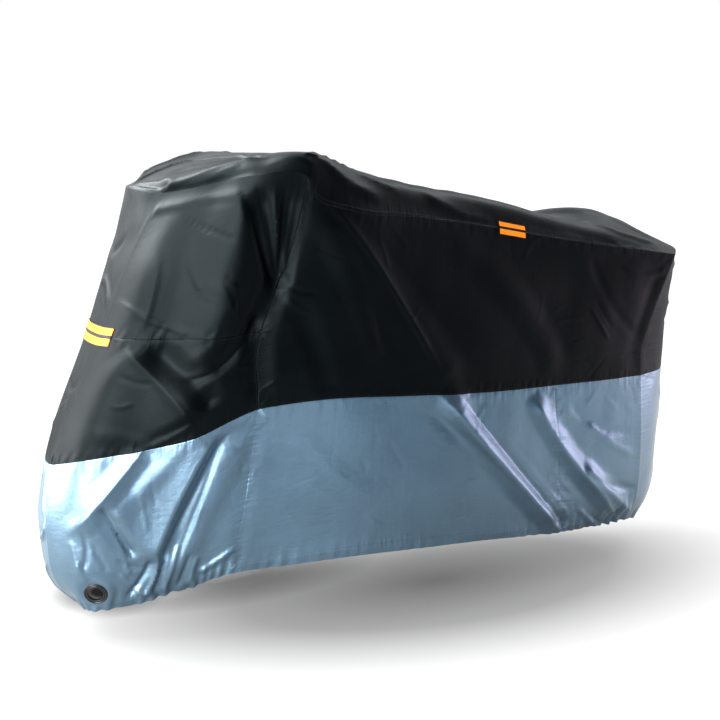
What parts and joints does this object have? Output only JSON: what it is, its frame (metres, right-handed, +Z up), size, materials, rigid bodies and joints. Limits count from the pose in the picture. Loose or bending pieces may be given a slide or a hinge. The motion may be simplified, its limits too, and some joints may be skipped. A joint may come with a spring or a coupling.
{
  "type": "motorcycle cover",
  "caption": "Fitted two-tone motorcycle cover in its worn shape, with a black upper, a silver elastic-hemmed lower band, lock eyelets and reflective tapes.",
  "frame": {"origin": "on the underside of the top gusset, on the centre plane, where the machine's seat and tank carry the cover", "axes": "+Z up, -X towards the nose, +X towards the tail, -Y the left side"},
  "size_m": [2.0537, 0.792, 1.2235],
  "materials": {
    "black_cloth": "coated polyester weave, satin",
    "silver_cloth": "silver coated polyester weave, satin metallic",
    "eyelet": "moulded, semi-matte",
    "tape": "fluorescent orange tape with a black middle line"
  },
  "bodies": {
    "root": {"black_nose_gusset": "black_cloth", "black_top_front": "black_cloth", "black_top_middle": "black_cloth", "black_top_seat": "black_cloth", "black_top_rear": "black_cloth", "black_tail_gusset": "black_cloth", "black_front_upper_left": "black_cloth", "black_front_lower_left": "black_cloth", "black_side_left": "black_cloth", "silver_front_left": "silver_cloth", "lock_patch_left": "silver_cloth", "silver_middle_left": "silver_cloth", "silver_rear_left": "silver_cloth", "eyelet_left": "eyelet", "tape_left": "tape", "black_front_upper_right": "black_cloth", "black_front_lower_right": "black_cloth", "black_side_right": "black_cloth", "silver_front_right": "silver_cloth", "lock_patch_right": "silver_cloth", "silver_middle_right": "silver_cloth", "silver_rear_right": "silver_cloth", "eyelet_right": "eyelet", "tape_right": "tape", "silver_nose_gusset": "silver_cloth", "silver_tail_gusset": "silver_cloth", "tape_nose": "tape"}
  },
  "joints": []
}
